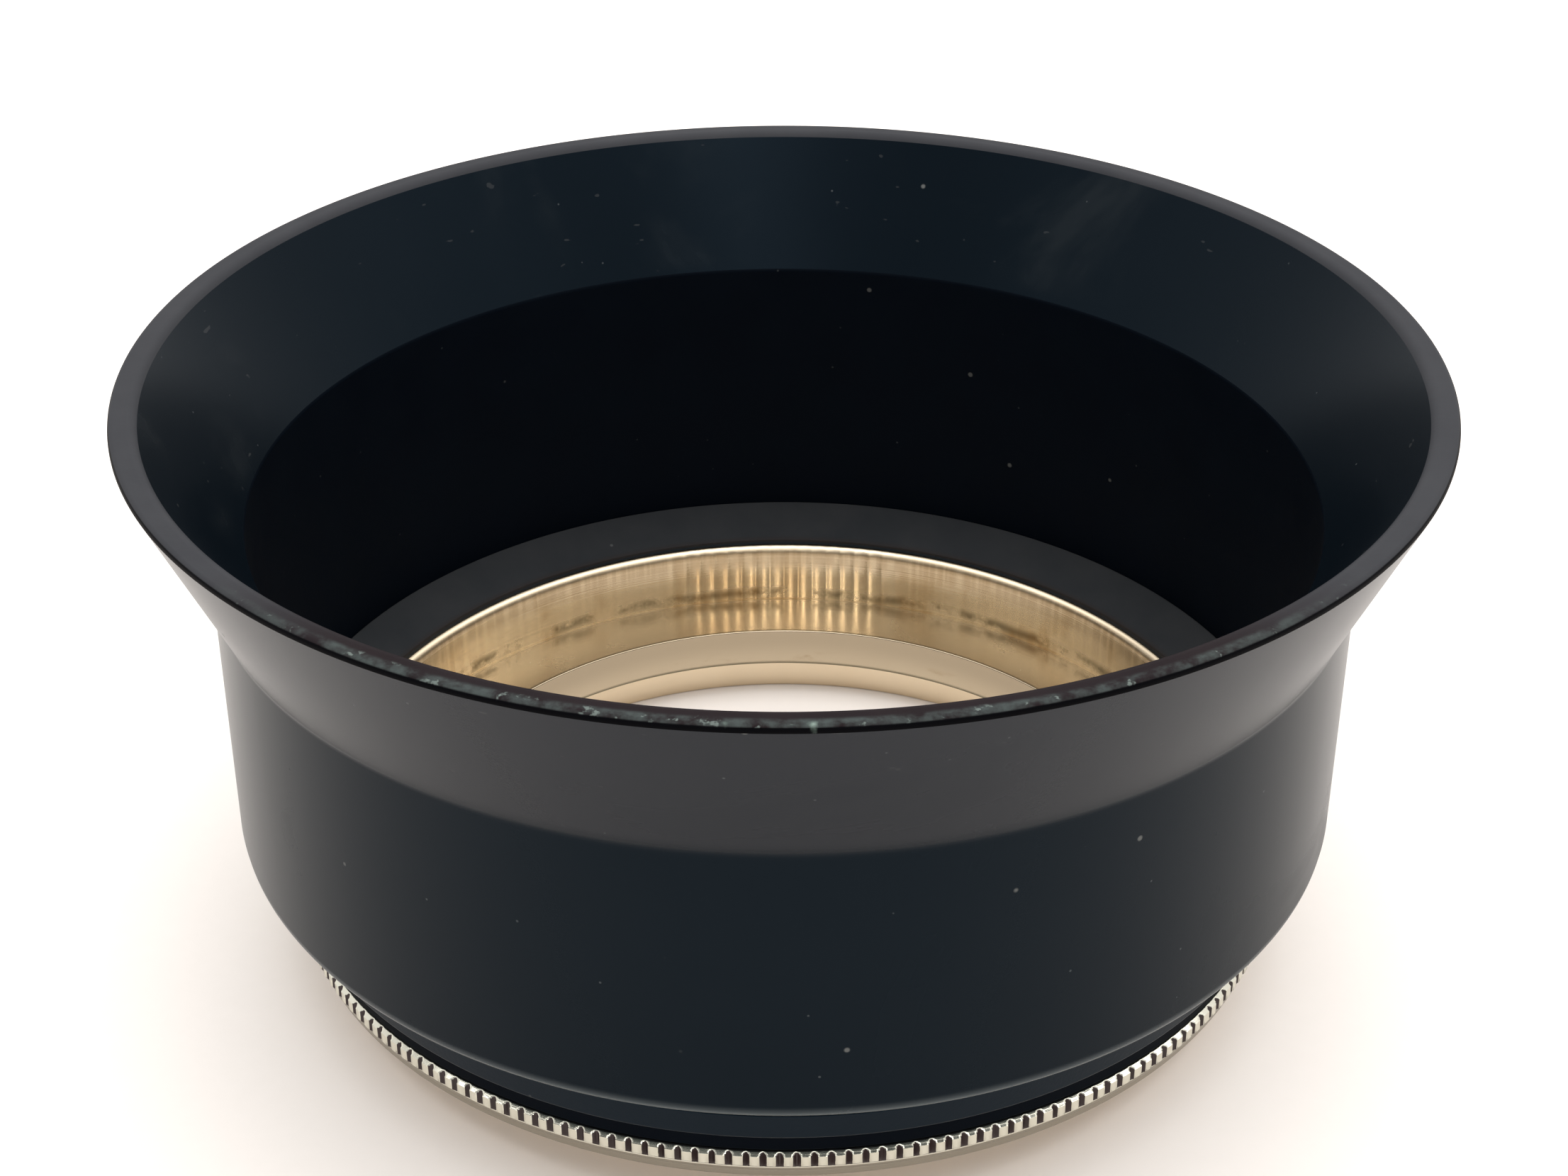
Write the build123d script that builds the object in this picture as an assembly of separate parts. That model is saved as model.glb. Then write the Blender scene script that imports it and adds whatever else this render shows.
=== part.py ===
from build123d import *
import math
import os

# A flared metal lens hood on a two-piece nickel-plated adapter.
# Millimetres, +Z up along the light path, origin at the centre of the face it rests on.

# --- driving dimensions ---------------------------------------------------------------
RIM_R = 34.5              # outer radius of the flared rim
HEIGHT = 34.05            # from the lens thread's lower end to the rim
RIM_LIP = 1.27            # width of the flat lip on the rim
RUNNING_GAP = 0.05        # radial clearance of pieces that turn in each other

# hood shell
BODY_R = 30.36            # outside of the cylinder
BODY_BORE_R = 28.43       # inside of the cylinder
FLARE_OUT_DROP = 9.5      # rim to the outside corner between flare and cylinder
FLARE_IN_DROP = 7.37      # rim to the inside corner between flare and cylinder
BODY_FOOT_Z = 8.92        # lower end of the cylinder
RIM_OUT_ROUND = 0.35
RIM_IN_ROUND = 0.6
COVE_R = 0.8              # small cove between flare and cylinder, outside
BODY_FOOT_ROUND = 0.95

# base ring, pressed into the lower end of the shell
FUNNEL_TOP_Z = 10.25      # sloping floor, at the shell's bore
FUNNEL_LOW_Z = 9.0        # sloping floor, at its inner edge
FUNNEL_HOLE_R = 25.5
PLUG_LOW_Z = 7.9
NECK_R = 28.09
NECK_LOW_Z = 5.95
NECK_FOOT_R = 27.6
NECK_BREAK = 0.12
NECK_GROOVE_Z = 7.38      # from here up the neck is cut back, just under the shell
NECK_GROOVE_DEPTH = 0.35

# adapter ring with its thread sleeve and knurled flange
SLEEVE_R = 27.0           # outside of the sleeve that the base ring screws on
SLEEVE_BORE_R = 25.12     # recess for a drop-in filter
SLEEVE_TOP_Z = 8.6
SLEEVE_ROUND = 0.5
SEAT_Z = 4.73             # filter seat, level with the flange's top face
SEAT_HOLE_R = 21.09       # clear opening of the whole part
SPIGOT_LOW_Z = 2.25
FLANGE_LOW_Z = 3.45
KNURL_R = 27.88           # over the teeth
KNURL_TEETH = 208
KNURL_LAND = 0.56         # share of the pitch that is tooth
KNURL_DEPTH = 0.25
KNURL_TOP_CHAMFER = (0.3, 0.2)       # radial, axial
KNURL_LOW_Z = 3.87
KNURL_LOW_CHAMFER = 0.12
COLLAR_R = 27.66          # plain band under the teeth
COLLAR_BREAK = 0.2

# lens thread ring, pressed on the adapter ring's spigot
LENS_THREAD_R = 23.0      # 46 mm lens thread
LENS_BORE_R = 22.08
LENS_FLANGE_R = 27.5
LENS_FLANGE_LOW_Z = 3.0
LENS_FLANGE_BREAK = 0.1
THREAD_RELIEF = 0.45      # depth and height of the groove over the thread
THREAD_LEAD_IN = 0.25     # chamfer at the thread's lower end

SEAM = 0.05               # axial gap where two turning faces meet
TOOTH_CUTTER_OVERSIZE = 1.0


def turned(points):
    """A solid of revolution about Z from (radius, height) points in order."""
    outline = Polyline(*[(r, 0, z) for r, z in points], close=True)
    return revolve(make_face(outline), axis=Axis.Z)


def rounded(solid, radius, ring_r, ring_z):
    """Round the circular edge with this radius and height."""
    edges = [e for e in solid.edges().filter_by(GeomType.CIRCLE)
             if abs(e.radius - ring_r) < 0.01 and abs(e.center(CenterOf.BOUNDING_BOX).Z - ring_z) < 0.01]
    return fillet(edges, radius)


def hood_shell():
    top = HEIGHT
    shell = turned([
        (BODY_BORE_R, BODY_FOOT_Z),
        (BODY_R, BODY_FOOT_Z),
        (BODY_R, top - FLARE_OUT_DROP),
        (RIM_R, top - RIM_OUT_ROUND),
        (RIM_R, top),
        (RIM_R - RIM_LIP, top),
        (BODY_BORE_R, top - FLARE_IN_DROP),
    ])
    shell = rounded(shell, RIM_OUT_ROUND * 0.9, RIM_R, top)
    shell = rounded(shell, RIM_IN_ROUND, RIM_R - RIM_LIP, top)
    shell = rounded(shell, COVE_R, BODY_R, top - FLARE_OUT_DROP)
    return rounded(shell, BODY_FOOT_ROUND, BODY_R, BODY_FOOT_Z)


def base_ring():
    plug_r = BODY_BORE_R - RUNNING_GAP
    thread_r = SLEEVE_R + RUNNING_GAP
    foot_z = SEAT_Z + SEAM
    return turned([
        (thread_r, foot_z),
        (NECK_FOOT_R, foot_z),
        (NECK_FOOT_R, NECK_LOW_Z),
        (NECK_R - NECK_BREAK, NECK_LOW_Z),
        (NECK_R, NECK_LOW_Z + NECK_BREAK),
        (NECK_R, NECK_GROOVE_Z),
        (NECK_R - NECK_GROOVE_DEPTH, NECK_GROOVE_Z),
        (NECK_R - NECK_GROOVE_DEPTH, PLUG_LOW_Z),
        (plug_r, PLUG_LOW_Z),
        (plug_r, FUNNEL_TOP_Z),
        (FUNNEL_HOLE_R, FUNNEL_LOW_Z),
        (FUNNEL_HOLE_R, SLEEVE_TOP_Z + SEAM),
        (thread_r, SLEEVE_TOP_Z + SEAM),
    ])


def knurl_outline():
    """Plan outline of the toothed flange: straight lands with half-round grooves between."""
    pitch = 2 * math.pi / KNURL_TEETH
    groove = pitch * (1 - KNURL_LAND)

    def at(radius, angle):
        return (radius * math.cos(angle), radius * math.sin(angle))

    edges = []
    for tooth in range(KNURL_TEETH):
        start = tooth * pitch
        land_end = start + pitch - groove
        edges.append(Line(at(KNURL_R, start), at(KNURL_R, land_end)))
        edges.append(ThreePointArc(
            at(KNURL_R, land_end),
            at(KNURL_R - KNURL_DEPTH, land_end + groove / 2),
            at(KNURL_R, start + pitch)))
    return make_face(Wire(edges))


def adapter_ring():
    radial, axial = KNURL_TOP_CHAMFER
    blank = turned([
        (SEAT_HOLE_R, KNURL_LOW_Z - KNURL_LOW_CHAMFER),
        (KNURL_R - 2 * KNURL_LOW_CHAMFER, KNURL_LOW_Z - KNURL_LOW_CHAMFER),
        (KNURL_R, KNURL_LOW_Z + KNURL_LOW_CHAMFER),
        (KNURL_R, SEAT_Z - axial),
        (KNURL_R - radial, SEAT_Z),
        (SEAT_HOLE_R, SEAT_Z),
    ])
    teeth = extrude(knurl_outline(), TOOTH_CUTTER_OVERSIZE + SEAT_Z, dir=(0, 0, 1))
    flange = blank & teeth
    core = turned([
        (SEAT_HOLE_R, SPIGOT_LOW_Z),
        (LENS_BORE_R, SPIGOT_LOW_Z),
        (LENS_BORE_R, FLANGE_LOW_Z),
        (COLLAR_R - COLLAR_BREAK, FLANGE_LOW_Z),
        (COLLAR_R, FLANGE_LOW_Z + COLLAR_BREAK),
        (COLLAR_R, KNURL_LOW_Z - KNURL_LOW_CHAMFER),
        (KNURL_R - 2 * KNURL_DEPTH, SEAT_Z - axial),
        (KNURL_R - 2 * KNURL_DEPTH, SEAT_Z),
        (SLEEVE_R, SEAT_Z),
        (SLEEVE_R, SLEEVE_TOP_Z),
        (SLEEVE_BORE_R, SLEEVE_TOP_Z),
        (SLEEVE_BORE_R, SEAT_Z),
        (SEAT_HOLE_R, SEAT_Z),
    ])
    core = rounded(core, SLEEVE_ROUND, SLEEVE_BORE_R, SLEEVE_TOP_Z)
    return core + flange


def lens_thread_ring():
    relief_r = LENS_THREAD_R - THREAD_RELIEF
    return turned([
        (LENS_BORE_R, 0),
        (LENS_THREAD_R - THREAD_LEAD_IN, 0),
        (LENS_THREAD_R, THREAD_LEAD_IN),
        (LENS_THREAD_R, LENS_FLANGE_LOW_Z - THREAD_RELIEF),
        (relief_r, LENS_FLANGE_LOW_Z - THREAD_RELIEF),
        (relief_r, LENS_FLANGE_LOW_Z),
        (LENS_FLANGE_R - LENS_FLANGE_BREAK, LENS_FLANGE_LOW_Z),
        (LENS_FLANGE_R, LENS_FLANGE_LOW_Z + LENS_FLANGE_BREAK),
        (LENS_FLANGE_R, FLANGE_LOW_Z - LENS_FLANGE_BREAK),
        (LENS_FLANGE_R - LENS_FLANGE_BREAK, FLANGE_LOW_Z),
        (LENS_BORE_R, FLANGE_LOW_Z),
    ])


os.makedirs("parts", exist_ok=True)
PIECES = {
    "hood_shell": hood_shell,
    "base_ring": base_ring,
    "adapter_ring": adapter_ring,
    "lens_thread_ring": lens_thread_ring,
}
for name, make in PIECES.items():
    piece = make()
    export_step(piece, f"parts/{name}.step")
    print(name, round(piece.volume, 1))
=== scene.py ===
"""Looks of a flared lens hood on its knurled adapter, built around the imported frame.

Lengths are millimetres while a piece is drawn, and MM turns them into metres in its mesh.
"""
import math
import random

import bmesh
import bpy
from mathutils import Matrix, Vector


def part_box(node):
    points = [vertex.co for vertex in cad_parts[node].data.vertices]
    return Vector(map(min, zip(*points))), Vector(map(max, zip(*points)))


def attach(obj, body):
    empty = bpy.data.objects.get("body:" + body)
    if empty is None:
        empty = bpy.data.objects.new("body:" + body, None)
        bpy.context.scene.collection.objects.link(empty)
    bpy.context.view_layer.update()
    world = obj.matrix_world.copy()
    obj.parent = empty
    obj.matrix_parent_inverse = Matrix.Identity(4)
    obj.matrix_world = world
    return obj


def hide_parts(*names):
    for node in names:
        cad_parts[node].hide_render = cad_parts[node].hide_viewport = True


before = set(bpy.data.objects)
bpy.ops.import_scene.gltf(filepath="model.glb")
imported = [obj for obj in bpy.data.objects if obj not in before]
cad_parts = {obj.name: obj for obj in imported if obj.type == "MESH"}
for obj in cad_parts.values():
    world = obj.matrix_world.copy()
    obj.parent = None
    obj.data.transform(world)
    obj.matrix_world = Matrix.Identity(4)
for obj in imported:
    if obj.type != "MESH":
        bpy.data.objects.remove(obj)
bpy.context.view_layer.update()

MM = 0.001
TURN = 2 * math.pi


def top_of(node):
    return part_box(node)[1].z / MM


def radius_of(node):
    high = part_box(node)[1]
    return min(high.x, high.y) / MM


# --- sizes ----------------------------------------------------------------------------
STEPS = 520                    # steps round a plain ring
FINE_STEPS = 4 * STEPS         # steps round the knurl and the scalloped wall
ARC_STEPS = 5                  # steps in a rounded corner
HOLD = 0.02                    # from each round to a ring that keeps the flat beside it evenly shaded
MERGE_DISTANCE = 0.002         # vertices nearer than this become one
SHARP_ANGLE = math.radians(40)         # edges sharper than this aren't shaded smooth

HEIGHT = top_of("hood_shell")
RIM_R = radius_of("hood_shell")
RIM_LIP = 1.27
RIM_BAND = 0.35                # upright band between the lip and the flare's outside
BODY_R = 30.36
BODY_BORE_R = 28.43
BODY_FOOT_Z = 8.92
FLARE_OUT_Z = HEIGHT - 9.5     # outside corner between flare and cylinder
FLARE_IN_Z = HEIGHT - 7.37     # inside corner between flare and cylinder
FLARE_SLOPE = (RIM_R - BODY_R) / (HEIGHT - RIM_BAND - FLARE_OUT_Z)

FUNNEL_TOP_Z = top_of("base_ring")
FUNNEL_LOW_Z = 9.0
FUNNEL_HOLE_R = 25.5
PLUG_R = BODY_BORE_R - 0.01    # pressed in, so no light comes through
PLUG_LOW_Z = 7.9
NECK_R = 28.09
NECK_LOW_Z = 5.95
NECK_GROOVE_Z = 7.38           # above this the neck is cut back, which leaves a dark seam under the shell
NECK_GROOVE_DEPTH = 0.35
NECK_FOOT_R = 27.6
NECK_FOOT_Z = 4.78
NECK_THREAD_TOP_Z = 8.65

SLEEVE_TOP_Z = top_of("adapter_ring")
SLEEVE_BORE_R = 25.12
SLEEVE_LIP = 0.5               # round from the sleeve's top into the recess
SEAT_Z = 4.73
SEAT_HOLE_R = 21.09
SPIGOT_LOW_Z = 2.25
FLANGE_LOW_Z = 3.45
COLLAR_R = 27.66
KNURL_R = radius_of("adapter_ring")
KNURL_LOW_Z = 3.75
KNURL_TEETH = 208
KNURL_LAND = 0.56              # share of the pitch that is tooth
KNURL_DEPTH = 0.26
CHAMFER_IN, CHAMFER_HIGH = 0.3, 0.2    # over the top of the teeth
LOW_CHAMFER = 0.24             # under the teeth, the same inwards and upwards
WALL_SCALLOPS = 172            # shallow chatter marks on the recess wall, if they went all round
WALL_SCALLOP_DEPTH = 0.066
SCALLOPED_HALF = math.radians(20)      # they reach this far to each side of the far point of the wall

LENS_FLANGE_R = radius_of("lens_thread_ring")
LENS_FLANGE_LOW_Z = 3.0
LENS_BORE_R = 22.08

THREAD_PITCH = 0.75
THREAD_FADE = 0.4              # share of a pitch in which a thread rises from its root at each end
THREAD_ROWS = 10               # rows of vertices in one pitch
SLEEVE_THREAD = (26.55, 27.0)  # root and crest radius
NECK_THREAD = (27.07, 26.66)
LENS_THREAD = (22.55, 23.0)


# --- mesh tools -----------------------------------------------------------------------
def with_rounds(corners):
    """The (radius, height) points of an outline. A corner with a third number is rounded to that radius."""
    points = []
    for i, corner in enumerate(corners):
        point = Vector(corner[:2])
        if len(corner) == 2:
            points.append(tuple(point))
            continue
        back = (Vector(corners[i - 1][:2]) - point).normalized()
        ahead = (Vector(corners[(i + 1) % len(corners)][:2]) - point).normalized()
        half = back.angle(ahead) / 2
        reach = corner[2] / math.tan(half)
        centre = point + (back + ahead).normalized() * corner[2] / math.sin(half)
        start = (point + back * reach - centre).normalized()
        end = (point + ahead * reach - centre).normalized()
        points.append(tuple(point + back * (reach + HOLD)))
        for step in range(ARC_STEPS + 1):
            points.append(tuple(centre + start.slerp(end, step / ARC_STEPS) * corner[2]))
        points.append(tuple(point + ahead * (reach + HOLD)))
    return points


def add_ring(bm, radius, height, steps):
    """A ring of vertices round the axis. radius is a number, or a function of the angle."""
    ring = []
    for step in range(steps):
        angle = TURN * step / steps
        r = (radius(angle) if callable(radius) else radius) * MM
        ring.append(bm.verts.new((r * math.cos(angle), r * math.sin(angle), height * MM)))
    return ring


def bridge(bm, one, two):
    """Faces between two rings. The finer ring has a whole multiple of the coarser ring's steps."""
    coarse, fine = sorted((one, two), key=len)
    ratio = len(fine) // len(coarse)
    for step in range(len(coarse)):
        along = [fine[(step * ratio + k) % len(fine)] for k in range(ratio + 1)]
        bm.faces.new([coarse[(step + 1) % len(coarse)], coarse[step], *along])


def add_thread(bm, root_r, crest_r, low_z, high_z):
    """A right-hand helical thread between two plain rings of the root radius.

    An inner thread is half a pitch lower, so its ridges lie in the grooves of an outer one.
    """
    row_height = THREAD_PITCH / THREAD_ROWS
    base_z = math.floor(low_z / THREAD_PITCH) * THREAD_PITCH
    if crest_r < root_r:
        base_z -= THREAD_PITCH / 2
    rows = math.ceil((high_z - base_z) / row_height) + THREAD_ROWS
    columns = []
    for step in range(STEPS + 1):
        share = step / STEPS
        angle = TURN * share
        column = []
        for row in range(rows + 1):
            free_z = base_z + (row - THREAD_ROWS * (1 - share)) * row_height
            z = min(max(free_z, low_z), high_z)
            from_end = min(z - low_z, high_z - z)
            fade = min(from_end / (THREAD_FADE * THREAD_PITCH), 1)
            ridge = 1 - abs(2 * (row % THREAD_ROWS) / THREAD_ROWS - 1)
            r = (root_r + (crest_r - root_r) * fade * min(1.15 * ridge, 1)) * MM
            column.append(bm.verts.new((r * math.cos(angle), r * math.sin(angle), z * MM)))
        columns.append(column)
    for left, right in zip(columns, columns[1:]):
        for row in range(rows):
            bm.faces.new((left[row], right[row], right[row + 1], left[row + 1]))


def solid_of(name, rings, thread_after=None, thread=None):
    """A piece through rings of (radius, height, steps), with a thread after the ring of that number."""
    bm = bmesh.new()
    made = [add_ring(bm, *ring) for ring in rings]
    for number, ring in enumerate(made):
        after = (number + 1) % len(made)
        if number == thread_after:
            heights = sorted((rings[number][1], rings[after][1]))
            add_thread(bm, *thread, *heights)
        else:
            bridge(bm, ring, made[after])
    bmesh.ops.remove_doubles(bm, verts=bm.verts, dist=MERGE_DISTANCE * MM)
    bmesh.ops.recalc_face_normals(bm, faces=bm.faces)
    mesh = bpy.data.meshes.new(name)
    bm.to_mesh(mesh)
    bm.free()
    mesh.shade_smooth()
    mesh.set_sharp_from_angle(angle=SHARP_ANGLE)
    piece = bpy.data.objects.new(name, mesh)
    bpy.context.scene.collection.objects.link(piece)
    return piece


def plain(points, steps=STEPS):
    """Rings of the same number of steps through outline points."""
    return [(r, z, steps) for r, z in points]


# --- pieces ---------------------------------------------------------------------------
def make_hood_shell():
    outline = with_rounds([
        (BODY_BORE_R, BODY_FOOT_Z, 0.12),
        (BODY_R, BODY_FOOT_Z, 0.95),
        (BODY_R, FLARE_OUT_Z, 0.8),
        (RIM_R, HEIGHT - RIM_BAND, 0.1),
        (RIM_R, HEIGHT, 0.28),
        (RIM_R - RIM_LIP, HEIGHT, 0.6),
        (BODY_BORE_R, FLARE_IN_Z, 0.35),
    ])
    return solid_of("hood_shell_worn", plain(outline, 2 * STEPS))


def make_base_ring():
    rings = plain(with_rounds([
        (NECK_THREAD[0], NECK_THREAD_TOP_Z),
        (FUNNEL_HOLE_R, NECK_THREAD_TOP_Z, 0.06),
        (FUNNEL_HOLE_R, FUNNEL_LOW_Z, 0.1),
        (PLUG_R, FUNNEL_TOP_Z, 0.08),
        (PLUG_R, PLUG_LOW_Z),
        (NECK_R - NECK_GROOVE_DEPTH, PLUG_LOW_Z),
        (NECK_R - NECK_GROOVE_DEPTH, NECK_GROOVE_Z),
        (NECK_R, NECK_GROOVE_Z, 0.06),
        (NECK_R, NECK_LOW_Z, 0.14),
        (NECK_FOOT_R, NECK_LOW_Z),
        (NECK_FOOT_R, NECK_FOOT_Z, 0.1),
        (NECK_THREAD[0], NECK_FOOT_Z, 0.2),
    ]))
    return solid_of("base_ring_threaded", rings, len(rings) - 1, NECK_THREAD)


def knurl_depths():
    """How deep the knurl's surface lies at each fine step: flat lands and round grooves, no two alike."""
    chance = random.Random(7)
    per_tooth = FINE_STEPS // KNURL_TEETH
    depths = []
    for _ in range(KNURL_TEETH):
        land = KNURL_LAND + chance.uniform(-0.04, 0.04)
        depth = KNURL_DEPTH * chance.uniform(0.88, 1.0)
        lean = chance.uniform(-0.012, 0.012)
        for k in range(per_tooth):
            share = k / per_tooth
            if share <= land:
                crown = abs(2 * share / land - 1)
                depths.append(0.008 + 0.02 * crown ** 6 + lean * (share / land - 0.5))
            else:
                depths.append(depth * math.sin(math.pi * (share - land) / (1 - land)) ** 0.85)
    return depths


def knurl_radius(blank_r, depths):
    """The radius round one level of the knurl, whose blank is a plain ring there."""
    return lambda angle: min(blank_r, KNURL_R - depths[round(angle / TURN * FINE_STEPS) % FINE_STEPS])


def wall_radius(radius, share, depths):
    """The recess wall's radius: shallow scallops round its far side, fading where share is small."""
    def at(angle):
        aside = abs(angle - TURN / 4)
        if aside > SCALLOPED_HALF:
            return radius
        place = angle / TURN * WALL_SCALLOPS
        fade = share * min(3 * (1 - aside / SCALLOPED_HALF), 1)
        return radius + fade * depths[int(place)] * (1 - (2 * (place % 1) - 1) ** 2)
    return at


def make_adapter_ring():
    depths = knurl_depths()
    chance = random.Random(11)
    scallops = [WALL_SCALLOP_DEPTH * chance.uniform(0.6, 1.0) for _ in range(WALL_SCALLOPS)]
    blank_low_r = KNURL_R - LOW_CHAMFER
    blank_top_r = KNURL_R - CHAMFER_IN

    rings = plain(with_rounds([
        (SEAT_HOLE_R, SEAT_Z, 0.07),
        (SEAT_HOLE_R, SPIGOT_LOW_Z, 0.1),
        (LENS_BORE_R, SPIGOT_LOW_Z),
        (LENS_BORE_R, FLANGE_LOW_Z),
        (COLLAR_R, FLANGE_LOW_Z, 0.2),
        (COLLAR_R, KNURL_LOW_Z - 0.04),
        (blank_low_r, KNURL_LOW_Z),
        (KNURL_R, SEAT_Z),
    ])[:-1])
    for share in (0, 0.25, 0.5, 0.75, 1):
        blank_r = blank_low_r + LOW_CHAMFER * share
        height = KNURL_LOW_Z + 0.01 + LOW_CHAMFER * share
        rings.append((knurl_radius(blank_r, depths), height, FINE_STEPS))
    for share in (0.1, 0.35, 0.6, 0.8, 1):
        blank_r = KNURL_R + (blank_top_r - KNURL_R) * share
        height = SEAT_Z - CHAMFER_HIGH * (1 - share)
        rings.append((knurl_radius(blank_r, depths), height, FINE_STEPS))
    rings += plain([
        (SLEEVE_THREAD[0], SEAT_Z),
        (SLEEVE_THREAD[0], SEAT_Z + 0.5),
    ])
    thread_after = len(rings) - 1
    rings += plain(with_rounds([
        (SLEEVE_BORE_R, SEAT_Z),
        (SLEEVE_THREAD[0], SLEEVE_TOP_Z - 0.2),
        (SLEEVE_THREAD[0], SLEEVE_TOP_Z, 0.12),
        (SLEEVE_BORE_R, SLEEVE_TOP_Z),
    ])[1:-1])
    rings += plain([(SLEEVE_BORE_R + SLEEVE_LIP + HOLD, SLEEVE_TOP_Z)])
    lip_steps = 6
    for step in range(lip_steps + 1):
        turn = math.pi / 2 * step / lip_steps
        radius = SLEEVE_BORE_R + SLEEVE_LIP * (1 - math.sin(turn))
        height = SLEEVE_TOP_Z - SLEEVE_LIP * (1 - math.cos(turn))
        rings.append((wall_radius(radius, math.sin(turn), scallops), height, FINE_STEPS))
    for height in (SLEEVE_TOP_Z - SLEEVE_LIP - HOLD, SEAT_Z):
        rings.append((wall_radius(SLEEVE_BORE_R, 1, scallops), height, FINE_STEPS))
    rings += plain([(SLEEVE_BORE_R - 0.1, SEAT_Z)])
    return solid_of("adapter_ring_knurled", rings, thread_after, SLEEVE_THREAD)


def make_lens_thread_ring():
    root = LENS_THREAD[0]
    thread_top = LENS_FLANGE_LOW_Z - 0.4
    rings = plain([(root, thread_top)])
    rings += plain(with_rounds([
        (root, LENS_FLANGE_LOW_Z, 0.1),
        (LENS_FLANGE_R, LENS_FLANGE_LOW_Z, 0.12),
        (LENS_FLANGE_R, FLANGE_LOW_Z, 0.06),
        (LENS_BORE_R, FLANGE_LOW_Z),
        (LENS_BORE_R, 0, 0.12),
        (root, 0, 0.15),
    ]))
    rings += plain([(root, 0.2)])
    return solid_of("lens_thread_ring_threaded", rings, len(rings) - 1, LENS_THREAD)


# --- material tools -------------------------------------------------------------------
BLUE_SHEEN = (0.5, 0.75, 1.0, 1.0)     # how the black finishes tint what they reflect head-on


class Shader:
    """A material's node tree, with short calls for the nodes used here."""

    def __init__(self, name):
        self.material = bpy.data.materials.new(name)
        self.material.use_nodes = True
        self.nodes = self.material.node_tree.nodes
        self.links = self.material.node_tree.links
        self.surface = self.nodes["Principled BSDF"]
        self.place = self.nodes.new("ShaderNodeTexCoord").outputs["Object"]
        split = self.nodes.new("ShaderNodeSeparateXYZ")
        self.links.new(self.place, split.inputs[0])
        self.x, self.y, self.z = split.outputs
        self.angle = self.math("ARCTAN2", self.y, self.x)
        self.radius = self.length(self.x, self.y)

    def feed(self, socket, value):
        if isinstance(value, bpy.types.NodeSocket):
            self.links.new(value, socket)
        else:
            socket.default_value = value

    def math(self, operation, *values, clamp=False):
        node = self.nodes.new("ShaderNodeMath")
        node.operation = operation
        node.use_clamp = clamp
        for socket, value in zip(node.inputs, values):
            self.feed(socket, value)
        return node.outputs[0]

    def length(self, one, two):
        """The long side of a right triangle with these short sides."""
        return self.math("SQRT", self.math("ADD", self.math("MULTIPLY", one, one),
                                           self.math("MULTIPLY", two, two)))

    def between(self, value, low, high, out_low=0.0, out_high=1.0):
        """value mapped smoothly from low..high to out_low..out_high."""
        node = self.nodes.new("ShaderNodeMapRange")
        node.interpolation_type = "SMOOTHSTEP"
        for socket, number in zip(node.inputs, (value, low, high, out_low, out_high)):
            self.feed(socket, number)
        return node.outputs[0]

    def near(self, value, centre, reach):
        """1 at centre, fading to 0 at a distance of reach."""
        return self.between(self.math("ABSOLUTE", self.math("SUBTRACT", value, centre)), 0, reach, 1, 0)

    def all_of(self, *masks):
        product = masks[0]
        for mask in masks[1:]:
            product = self.math("MULTIPLY", product, mask)
        return product

    def at(self, x=None, y=None, z=None):
        """A vector of the given coordinates."""
        node = self.nodes.new("ShaderNodeCombineXYZ")
        for socket, value in zip(node.inputs, (x, y, z)):
            if value is not None:
                self.feed(socket, value)
        return node.outputs[0]

    def noise(self, per_metre, detail=3.0, roughness=0.55, place=None, distortion=0.0):
        node = self.nodes.new("ShaderNodeTexNoise")
        self.feed(node.inputs["Vector"], place or self.place)
        node.inputs["Scale"].default_value = per_metre
        node.inputs["Detail"].default_value = detail
        node.inputs["Roughness"].default_value = roughness
        node.inputs["Distortion"].default_value = distortion
        return node.outputs["Fac"]

    def specks(self, per_metre, size, share):
        """Round specks, size of their cell across, in the given share of the cells."""
        node = self.nodes.new("ShaderNodeTexVoronoi")
        self.feed(node.inputs["Vector"], self.place)
        node.inputs["Scale"].default_value = per_metre
        spread = self.math("FRACT", self.math("MULTIPLY", node.outputs["Color"], 7.31))
        chosen = self.between(spread, 1 - share, 1 - share + 0.01)
        spot = self.between(node.outputs["Distance"], size * 0.5, size, 1, 0)
        return self.math("MULTIPLY", spot, chosen)

    def mix(self, factor, one, two):
        node = self.nodes.new("ShaderNodeMix")
        node.data_type = "RGBA"
        self.feed(node.inputs["Factor"], factor)
        self.feed(node.inputs["A"], one if isinstance(one, bpy.types.NodeSocket) else (*one, 1))
        self.feed(node.inputs["B"], two if isinstance(two, bpy.types.NodeSocket) else (*two, 1))
        return node.outputs["Result"]

    def blend(self, factor, one, two):
        """A number between one and two."""
        return self.between(factor, 0, 1, one, two)

    def bump(self, height, depth_mm):
        """A bump of that depth in millimetres. height runs from 0 to 1."""
        node = self.nodes.new("ShaderNodeBump")
        node.inputs["Strength"].default_value = 1.0
        node.inputs["Distance"].default_value = depth_mm * MM
        self.feed(node.inputs["Height"], height)
        return node.outputs["Normal"]

    def set(self, **inputs):
        for name, value in inputs.items():
            socket = self.surface.inputs[name.replace("_", " ")]
            self.feed(socket, value)


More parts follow.
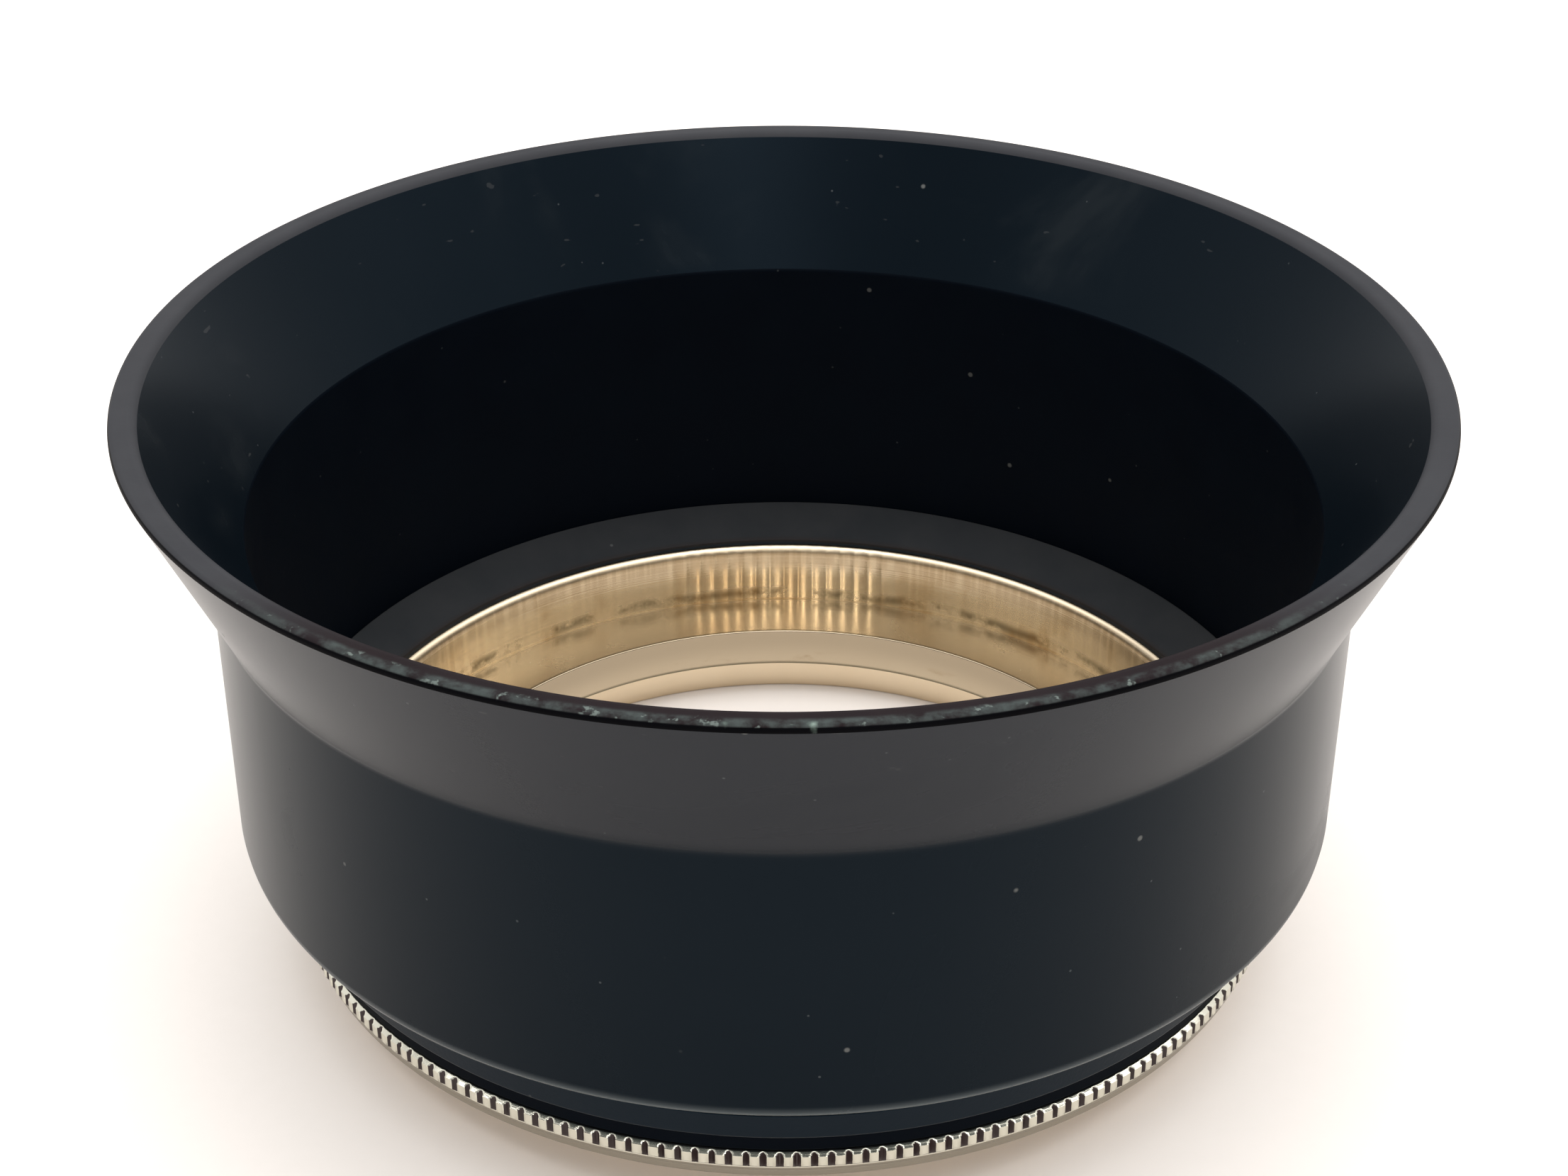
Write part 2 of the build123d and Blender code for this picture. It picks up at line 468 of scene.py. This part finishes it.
def hood_black():
    """Satin black finish, blue-black, with a painted reflection making the flare's outside greyer, smudges,
    dust, scratches and a painted highlight along the foot.
    """
    s = Shader("hood_satin_black")
    smudges = s.between(s.noise(55, 5, 0.6, distortion=0.6), 0.52, 0.78)
    cloud = s.noise(180, 3)
    inside = s.between(s.radius, 28.3 * MM, 28.9 * MM)
    high = s.between(s.z, FLARE_IN_Z * MM, (FLARE_IN_Z + 1) * MM)
    colour = s.mix(cloud, (0.0016, 0.0032, 0.0050), (0.0024, 0.0042, 0.0062))
    colour = s.mix(s.all_of(smudges, high, inside), colour, (0.010, 0.012, 0.0135))

    # painted reflection: the flare's outside made greyer, fading in over the corner above the cylinder
    outside = s.between(s.radius, (BODY_R - 0.6) * MM, (BODY_R - 0.5) * MM)
    over_corner = s.between(s.z, (FLARE_OUT_Z - 0.4) * MM, (FLARE_OUT_Z + 0.9) * MM)
    flare_foot_r = RIM_R - HEIGHT * FLARE_SLOPE      # the flare's outside, carried down to height 0
    flare_side = s.between(s.math("SUBTRACT", s.radius, s.math("MULTIPLY", s.z, FLARE_SLOPE)),
                           (flare_foot_r - 0.9) * MM, (flare_foot_r - 0.7) * MM)
    colour = s.mix(s.all_of(outside, over_corner, flare_side), colour, (0.0165, 0.017, 0.0195))

    scratch_place = s.at(s.math("MULTIPLY", s.angle, 0.4), s.math("MULTIPLY", s.z, 30),
                         s.math("MULTIPLY", s.radius, 8))
    scratches = s.between(s.noise(60, 2, 0.5, scratch_place), 0.735, 0.76)
    colour = s.mix(s.all_of(scratches, high, 0.35), colour, (0.05, 0.05, 0.05))

    dust = s.specks(520, 0.1, 0.05)
    fine_dust = s.specks(1500, 0.13, 0.03)
    colour = s.mix(s.math("MULTIPLY", dust, 0.6), colour, (0.16, 0.16, 0.15))
    colour = s.mix(s.math("MULTIPLY", fine_dust, 0.35), colour, (0.12, 0.13, 0.13))

    # painted highlight along the rounded foot of the shell, lighter and bluish towards its lower edge
    painted_foot_highlight = s.between(s.z, (BODY_FOOT_Z + 0.1) * MM, (BODY_FOOT_Z + 1.1) * MM, 1, 0)
    colour = s.mix(painted_foot_highlight, colour, (0.07, 0.087, 0.093))

    grain = s.noise(9000, 2)
    rough = s.math("ADD", s.blend(smudges, 0.26, 0.34), s.math("MULTIPLY", dust, 0.3))
    s.set(Base_Color=colour, Roughness=rough, IOR=1.2, Specular_Tint=BLUE_SHEEN,
          Normal=s.bump(grain, 0.002))
    return s.material


def rim_black():
    """The rim: a grey lip, brown-black in front as a painted reflection of the nickel, with a rubbed line
    and chips along its outer edge, and a painted dark shade on its outer rounding.
    """
    s = Shader("rim_worn_black")
    front = s.between(s.y, -29 * MM, -21 * MM, 1, 0)
    # painted reflection: the front of the rim turned brown-black where it mirrors the nickel inside
    brown = s.mix(s.noise(300, 4), (0.008, 0.0055, 0.0065), (0.016, 0.011, 0.012))
    colour = s.mix(s.noise(220, 5, 0.6), (0.027, 0.0275, 0.031), (0.042, 0.0425, 0.046))
    colour = s.mix(front, colour, brown)
    # painted shade: the outer rounding and band of the rim made near black
    outer = s.all_of(s.between(s.z, (HEIGHT - 0.12) * MM, (HEIGHT - 0.07) * MM, 1, 0),
                     s.between(s.radius, (RIM_R - 0.6) * MM, (RIM_R - 0.5) * MM))
    colour = s.mix(outer, colour, (0.0008, 0.0008, 0.0014))
    on_top = s.between(s.z, (HEIGHT - 0.13) * MM, (HEIGHT - 0.06) * MM)
    line = s.all_of(on_top, s.between(s.radius, (RIM_R - 0.72) * MM, (RIM_R - 0.4) * MM))
    mottle = s.between(s.noise(700, 4, 0.65), 0.34, 0.66)
    colour = s.mix(s.all_of(line, mottle, front), colour, (0.045, 0.054, 0.052))
    chips = s.between(s.noise(1300, 3, 0.7), 0.6, 0.68)
    colour = s.mix(s.all_of(line, chips, front), colour, (0.11, 0.13, 0.12))
    frayed = s.math("MULTIPLY", s.noise(2500, 3, 0.7), 0.3 * MM)
    for x, reach, strength in ((1.2, 0.42, 0.8), (-2.45, 0.32, 0.4)):
        away = s.length(s.math("SUBTRACT", s.x, x * MM), s.math("SUBTRACT", s.radius, (RIM_R - 0.2) * MM))
        chip = s.all_of(s.near(s.math("ADD", away, frayed), 0, reach * MM),
                        s.between(s.y, -20 * MM, -10 * MM, 1, 0))
        colour = s.mix(s.math("MULTIPLY", chip, strength), colour, (0.26, 0.34, 0.29))
    s.set(Base_Color=colour, Roughness=0.5, IOR=1.1, Normal=s.bump(s.noise(3000, 3), 0.006))
    return s.material


def base_black():
    """Thin matt black lacquer, brownish and dusty on the sloping floor, glossier on the neck outside."""
    s = Shader("base_matt_black")
    cloud = s.noise(220, 5, 0.65)
    floor = s.between(s.z, (FUNNEL_LOW_Z - 0.3) * MM, FUNNEL_LOW_Z * MM)
    colour = s.mix(cloud, (0.0025, 0.0045, 0.007), (0.0045, 0.0072, 0.0105))
    colour = s.mix(floor, colour, s.mix(cloud, (0.010, 0.010, 0.010), (0.027, 0.025, 0.0235)))
    rim = s.all_of(floor, s.near(s.radius, FUNNEL_HOLE_R * MM, 0.35 * MM))
    colour = s.mix(s.math("MULTIPLY", rim, 0.7), colour, (0.02, 0.013, 0.009))
    dust = s.specks(900, 0.12, 0.08)
    colour = s.mix(s.all_of(dust, 0.5), colour, (0.1, 0.1, 0.095))
    rough = s.blend(floor, 0.36, 0.62)
    s.set(Base_Color=colour, Roughness=rough, IOR=1.25, Specular_Tint=BLUE_SHEEN,
          Normal=s.bump(s.noise(5000, 3), 0.008))
    return s.material


def dead_black():
    """Dead matt black paint, where light is meant to stop: inside the cylinder; on the base ring's
    undercut, foot and thread it is also painted shade, darker than the neck's lacquer.
    """
    s = Shader("dead_matt_black")
    cloud = s.noise(300, 4)
    colour = s.mix(cloud, (0.0006, 0.0016, 0.0036), (0.0014, 0.0030, 0.0056))
    dust = s.specks(520, 0.1, 0.06)
    fine_dust = s.specks(1500, 0.13, 0.04)
    colour = s.mix(s.math("MULTIPLY", dust, 0.6), colour, (0.09, 0.09, 0.085))
    colour = s.mix(s.math("MULTIPLY", fine_dust, 0.3), colour, (0.06, 0.065, 0.065))
    s.set(Base_Color=colour, Roughness=s.blend(cloud, 0.5, 0.6), IOR=1.1,
          Normal=s.bump(s.noise(6000, 3), 0.004))
    return s.material


def nickel(name, dirty=False):
    """Nickel plate over brass: cool outside, brassy inside where it is thin, with turning marks."""
    s = Shader(name)
    cloud = s.noise(150, 5, 0.65, distortion=0.5)
    outside = s.between(s.radius, 26.3 * MM, 26.6 * MM)
    cool = s.mix(cloud, (0.68, 0.66, 0.55), (0.78, 0.75, 0.64))
    brassy = s.mix(cloud, (0.72, 0.59, 0.42), (0.80, 0.68, 0.50))
    colour = s.mix(outside, brassy, cool)
    # painted shade: the collar and flange under the teeth darkened, as where they mirror the shadowed floor
    band = s.all_of(s.between(s.radius, 27.2 * MM, 27.3 * MM),
                    s.between(s.z, (KNURL_LOW_Z - 0.05) * MM, KNURL_LOW_Z * MM, 1, 0))
    colour = s.mix(s.math("MULTIPLY", band, 0.9), colour, (0.25, 0.22, 0.175))
    rough = s.math("ADD", s.blend(cloud, 0.12, 0.2), s.math("MULTIPLY", band, 0.05))
    turned = s.at(s.math("MULTIPLY", s.radius, 9000), s.math("MULTIPLY", s.angle, 1.5),
                  s.math("MULTIPLY", s.z, 9000))
    grooves = s.noise(1.0, 2, 0.5, turned)
    metal = 1.0
    if dirty:
        colour, rough = recess_stains(s, colour, rough)
        dirt = knurl_dirt(s)
        colour = s.mix(dirt, colour, (0.022, 0.009, 0.008))
        rough = s.math("ADD", rough, s.math("MULTIPLY", dirt, 0.3), clamp=True)
        metal = s.math("SUBTRACT", 1.0, dirt)
    s.set(Base_Color=colour, Metallic=metal, Roughness=rough, Normal=s.bump(grooves, 0.004))
    return s.material


def recess_stains(s, colour, rough):
    """Tarnish and painted highlight streaks on the filter recess's wall, dirt along its corner, and painted
    shade at the lower edge of the opening.
    """
    above_seat = s.between(s.z, (SEAT_Z - 0.1) * MM, SEAT_Z * MM)
    on_wall = s.all_of(s.near(s.radius, SLEEVE_BORE_R * MM, 0.25 * MM), above_seat)
    in_recess = s.all_of(s.between(s.radius, 25.3 * MM, 25.4 * MM, 1, 0), above_seat)
    blotches = s.between(s.noise(260, 4, 0.6, s.at(s.x, s.y, s.math("MULTIPLY", s.z, 0.6))), 0.42, 0.66)
    colour = s.mix(s.all_of(on_wall, s.blend(blotches, 0.2, 0.8)), colour, (0.56, 0.41, 0.24))
    upper = s.between(s.z, (SEAT_Z + 2.0) * MM, (SEAT_Z + 3.0) * MM)
    colour = s.mix(s.all_of(on_wall, upper, 0.75), colour, (0.42, 0.32, 0.20))
    # painted highlight: light streaks along the wall's chatter marks
    painted_streak_highlights = s.noise(1.0, 2, 0.5, s.at(s.math("MULTIPLY", s.angle, WALL_SCALLOPS / 4)))
    colour = s.mix(s.all_of(on_wall, s.between(painted_streak_highlights, 0.45, 0.6), 0.25), colour, (0.9, 0.76, 0.54))

    from_corner = s.math("ADD", s.math("ABSOLUTE", s.math("SUBTRACT", s.z, SEAT_Z * MM)),
                         s.math("ABSOLUTE", s.math("SUBTRACT", s.radius, SLEEVE_BORE_R * MM)))
    wander = s.math("MULTIPLY", s.noise(150, 4, 0.6, s.at(s.x, s.y)), 1.0 * MM)
    line = s.near(s.math("SUBTRACT", from_corner, wander), 0, 0.6 * MM)
    dirt = s.all_of(on_wall, line, s.between(s.noise(330, 4, 0.65), 0.4, 0.56))
    dirt_colour = s.mix(blotches, (0.17, 0.14, 0.085), (0.20, 0.12, 0.045))
    colour = s.mix(s.math("MULTIPLY", dirt, 0.8), colour, dirt_colour)
    on_seat = s.all_of(in_recess, s.between(s.z, (SEAT_Z + 0.02) * MM, (SEAT_Z + 0.05) * MM, 1, 0))
    lip = s.between(s.z, (SLEEVE_TOP_Z - 0.7) * MM, (SLEEVE_TOP_Z - 0.45) * MM)
    for mask, more in ((on_seat, 0.1), (lip, 0.22), (on_wall, 0.06)):
        rough = s.math("ADD", rough, s.math("MULTIPLY", mask, more))

    in_hole = s.between(s.radius, (SEAT_HOLE_R + 0.15) * MM, (SEAT_HOLE_R + 0.25) * MM, 1, 0)
    dulled = s.all_of(in_hole, s.between(s.z, SPIGOT_LOW_Z * MM, (SEAT_Z - 0.5) * MM, 0.6, 0.95))
    colour = s.mix(dulled, colour, (0.40, 0.33, 0.235))
    # painted shade: a broken dark line at the lower edge of the opening, where the bore steps out beneath
    # it
    painted_gap_shade = s.all_of(in_hole, s.near(s.z, (SPIGOT_LOW_Z + 0.08) * MM, 0.2 * MM),
                        s.between(s.noise(120, 3), 0.3, 0.4))
    colour = s.mix(s.math("MULTIPLY", painted_gap_shade, 0.8), colour, (0.13, 0.12, 0.075))
    squeezed = s.at(s.x, s.y, s.math("MULTIPLY", s.z, 3))
    run_off = s.all_of(in_hole, s.near(s.z, (SPIGOT_LOW_Z + 0.65) * MM, 0.6 * MM),
                       s.between(s.noise(190, 5, 0.7, squeezed), 0.52, 0.66))
    colour = s.mix(s.math("MULTIPLY", run_off, 0.45), colour, (0.30, 0.21, 0.11))
    rough = s.math("ADD", rough, s.math("MULTIPLY", s.math("ADD", painted_gap_shade, dirt), 0.3), clamp=True)
    return colour, rough


def knurl_dirt(s):
    """1 in the grooves between the teeth, where dark brown dirt sits, and 0 on the lands and chamfers."""
    band = s.all_of(s.between(s.z, (KNURL_LOW_Z - 0.02) * MM, (KNURL_LOW_Z + 0.05) * MM),
                    s.between(s.z, (SEAT_Z - 0.02) * MM, SEAT_Z * MM, 1, 0),
                    s.between(s.radius, (COLLAR_R - 0.4) * MM, (COLLAR_R - 0.3) * MM))
    up_chamfer = s.math("MAXIMUM", s.math("SUBTRACT", s.z, (SEAT_Z - CHAMFER_HIGH) * MM), 0)
    blank_r = s.math("SUBTRACT", KNURL_R * MM, s.math("MULTIPLY", up_chamfer, CHAMFER_IN / CHAMFER_HIGH))
    land_r = s.math("SUBTRACT", blank_r, s.between(up_chamfer, 0, 0.02 * MM, 0.035 * MM, 0))
    return s.all_of(band, s.between(s.math("SUBTRACT", land_r, s.radius), 0.005 * MM, 0.025 * MM))


# --- dressing the pieces --------------------------------------------------------------
def paint(piece, material, radii, heights):
    """Give this material to the faces whose middle lies between the radii and between the heights."""
    mesh = piece.data
    mesh.materials.append(material)
    for face in mesh.polygons:
        radius = math.hypot(face.center.x, face.center.y) / MM
        if radii[0] < radius < radii[1] and heights[0] < face.center.z / MM < heights[1]:
            face.material_index = len(mesh.materials) - 1


def dress(piece, material, body, node):
    piece.data.materials.append(material)
    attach(piece, body)
    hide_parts(node)


def make_pieces():
    dead_black_and_shade = dead_black()
    shell = make_hood_shell()
    dress(shell, hood_black(), "hood", "hood_shell")
    paint(shell, dead_black_and_shade, (0, BODY_BORE_R + 0.15), (0, FLARE_IN_Z + 0.1))
    paint(shell, rim_black(), (0, RIM_R + 1), (HEIGHT - RIM_BAND - 0.01, HEIGHT + 1))
    base = make_base_ring()
    dress(base, base_black(), "hood_base", "base_ring")
    # painted shade: the neck's groove under the shell and its foot above the knurl get the darker dead
    # black
    paint(base, dead_black_and_shade, (0, NECK_R - 0.1), (0, NECK_THREAD_TOP_Z))
    dress(make_adapter_ring(), nickel("adapter_nickel", dirty=True), "adapter", "adapter_ring")
    dress(make_lens_thread_ring(), nickel("lens_ring_nickel"), "adapter", "lens_thread_ring")


# --- camera, floor and light ----------------------------------------------------------
def aim(thing, target):
    direction = Vector(target) - thing.location
    thing.rotation_euler = direction.to_track_quat("-Z", "Y").to_euler()


def make_camera():
    """The hood seen from 30 degrees above its front, close, as with a phone."""
    elevation = math.radians(30.48)
    distance = 4.243 * RIM_R * MM
    target = Vector((0, 0, 20.35 * MM))
    data = bpy.data.cameras.new("camera")
    data.sensor_width = 36.0
    data.lens = 61.45
    data.clip_start = 0.01
    camera = bpy.data.objects.new("camera", data)
    camera.location = target + distance * Vector((0, -math.cos(elevation), math.sin(elevation)))
    aim(camera, target)
    bpy.context.scene.collection.objects.link(camera)
    bpy.context.scene.camera = camera


def make_floor():
    size = 3.0
    mesh = bpy.data.meshes.new("floor")
    corners = [(-size, -size, 0), (size, -size, 0), (size, size, 0), (-size, size, 0)]
    mesh.from_pydata(corners, [], [(0, 1, 2, 3)])
    s = Shader("floor_paper")
    s.set(Base_Color=s.mix(s.noise(900, 3), (0.87, 0.812, 0.76), (0.89, 0.83, 0.78)), Roughness=0.75)
    mesh.materials.append(s.material)
    floor = bpy.data.objects.new("floor", mesh)
    bpy.context.scene.collection.objects.link(floor)


def add_area_light(name, location, target, width, height, power):
    data = bpy.data.lights.new(name, "AREA")
    data.shape = "RECTANGLE"
    data.size = width
    data.size_y = height
    data.energy = power
    light = bpy.data.objects.new(name, data)
    light.location = location
    aim(light, target)
    bpy.context.scene.collection.objects.link(light)


def make_light():
    """A bright room, darker above the camera, with a soft light overhead and a small window behind it."""
    world = bpy.data.worlds.new("world")
    bpy.context.scene.world = world
    world.use_nodes = True
    nodes, links = world.node_tree.nodes, world.node_tree.links
    split = nodes.new("ShaderNodeSeparateXYZ")
    links.new(nodes.new("ShaderNodeTexCoord").outputs["Generated"], split.inputs[0])
    sky = nodes.new("ShaderNodeValToRGB")
    sky.color_ramp.interpolation = "EASE"
    bands = (                  # sine of the elevation, and the sky's colour there
        (0.0, (0.92, 0.92, 0.92)),
        (0.56, (0.86, 0.86, 0.86)),
        (0.78, (0.40, 0.40, 0.40)),
        (1.0, (0.44, 0.43, 0.42)),
    )
    elements = sky.color_ramp.elements
    for sine, _ in bands[1:-1]:
        elements.new(sine)
    for element, (sine, colour) in zip(elements, bands):
        element.position = sine
        element.color = (*colour, 1)
    links.new(split.outputs["Z"], sky.inputs[0])

    def ramp(value, low, high):
        node = nodes.new("ShaderNodeMapRange")
        node.interpolation_type = "SMOOTHSTEP"
        node.inputs["From Min"].default_value = low
        node.inputs["From Max"].default_value = high
        links.new(value, node.inputs["Value"])
        return node.outputs[0]

    above_camera = nodes.new("ShaderNodeMath")
    above_camera.operation = "MULTIPLY"
    links.new(ramp(split.outputs["Y"], -0.35, -0.6), above_camera.inputs[0])
    links.new(ramp(split.outputs["Z"], 0.5, 0.66), above_camera.inputs[1])
    shaded = nodes.new("ShaderNodeMix")
    shaded.data_type = "RGBA"
    links.new(above_camera.outputs[0], shaded.inputs["Factor"])
    links.new(sky.outputs[0], shaded.inputs["A"])
    shaded.inputs["B"].default_value = (0.27, 0.28, 0.3, 1)
    links.new(shaded.outputs["Result"], nodes["Background"].inputs["Color"])
    nodes["Background"].inputs["Strength"].default_value = 1.2
    add_area_light("top_light", (0.04, 0.05, 0.6), (0, 0, 0.02), 1.0, 1.0, 8.2)
    add_area_light("window", (0.0, -0.5, 0.31), (0, 0, 0.01), 0.06, 0.2, 0.22)
    bpy.context.scene.view_settings.view_transform = "Standard"


make_camera()
make_floor()
make_light()
make_pieces()
